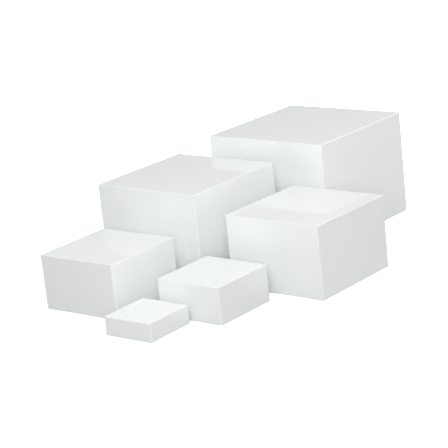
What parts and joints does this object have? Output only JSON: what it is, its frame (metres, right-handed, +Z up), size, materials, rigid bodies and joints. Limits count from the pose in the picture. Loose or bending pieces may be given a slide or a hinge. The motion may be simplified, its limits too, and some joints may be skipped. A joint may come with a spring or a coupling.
{
  "type": "acrylic display cube set",
  "caption": "Nesting display cubes in white gloss acrylic: low square boxes open underneath, in sizes an inch apart, each a top and walls mitred and cemented from sheet.",
  "frame": {"origin": "on the table, at the middle of the footprint of the whole set", "axes": "+Z up; +X along the set's longest side, towards the largest cube; +Y from the front to the back, square to the largest cube's front wall"},
  "size_m": [0.6096, 0.3758, 0.1524],
  "materials": {
    "white_acrylic": "gloss white opal sheet, polished edges"
  },
  "bodies": {
    "cube_8in": {"cube_8in_top": "white_acrylic", "cube_8in_front_wall": "white_acrylic", "cube_8in_right_wall": "white_acrylic", "cube_8in_back_wall": "white_acrylic", "cube_8in_left_wall": "white_acrylic"},
    "cube_7in": {"cube_7in_top": "white_acrylic", "cube_7in_front_wall": "white_acrylic", "cube_7in_right_wall": "white_acrylic", "cube_7in_back_wall": "white_acrylic", "cube_7in_left_wall": "white_acrylic"},
    "cube_6in": {"cube_6in_top": "white_acrylic", "cube_6in_front_wall": "white_acrylic", "cube_6in_right_wall": "white_acrylic", "cube_6in_back_wall": "white_acrylic", "cube_6in_left_wall": "white_acrylic"},
    "cube_5in": {"cube_5in_top": "white_acrylic", "cube_5in_front_wall": "white_acrylic", "cube_5in_right_wall": "white_acrylic", "cube_5in_back_wall": "white_acrylic", "cube_5in_left_wall": "white_acrylic"},
    "cube_4in": {"cube_4in_top": "white_acrylic", "cube_4in_front_wall": "white_acrylic", "cube_4in_right_wall": "white_acrylic", "cube_4in_back_wall": "white_acrylic", "cube_4in_left_wall": "white_acrylic"},
    "cube_3in": {"cube_3in_top": "white_acrylic", "cube_3in_front_wall": "white_acrylic", "cube_3in_right_wall": "white_acrylic", "cube_3in_back_wall": "white_acrylic", "cube_3in_left_wall": "white_acrylic"}
  },
  "joints": [
    {"name": "lift_7in", "type": "slide", "parent": "cube_8in", "child": "cube_7in", "axis": [0, 0, 1], "range_m": [0, 0.18]},
    {"name": "lift_6in", "type": "slide", "parent": "cube_8in", "child": "cube_6in", "axis": [0, 0, 1], "range_m": [0, 0.18]},
    {"name": "lift_5in", "type": "slide", "parent": "cube_8in", "child": "cube_5in", "axis": [0, 0, 1], "range_m": [0, 0.18]},
    {"name": "lift_4in", "type": "slide", "parent": "cube_8in", "child": "cube_4in", "axis": [0, 0, 1], "range_m": [0, 0.18]},
    {"name": "lift_3in", "type": "slide", "parent": "cube_8in", "child": "cube_3in", "axis": [0, 0, 1], "range_m": [0, 0.18]}
  ]
}
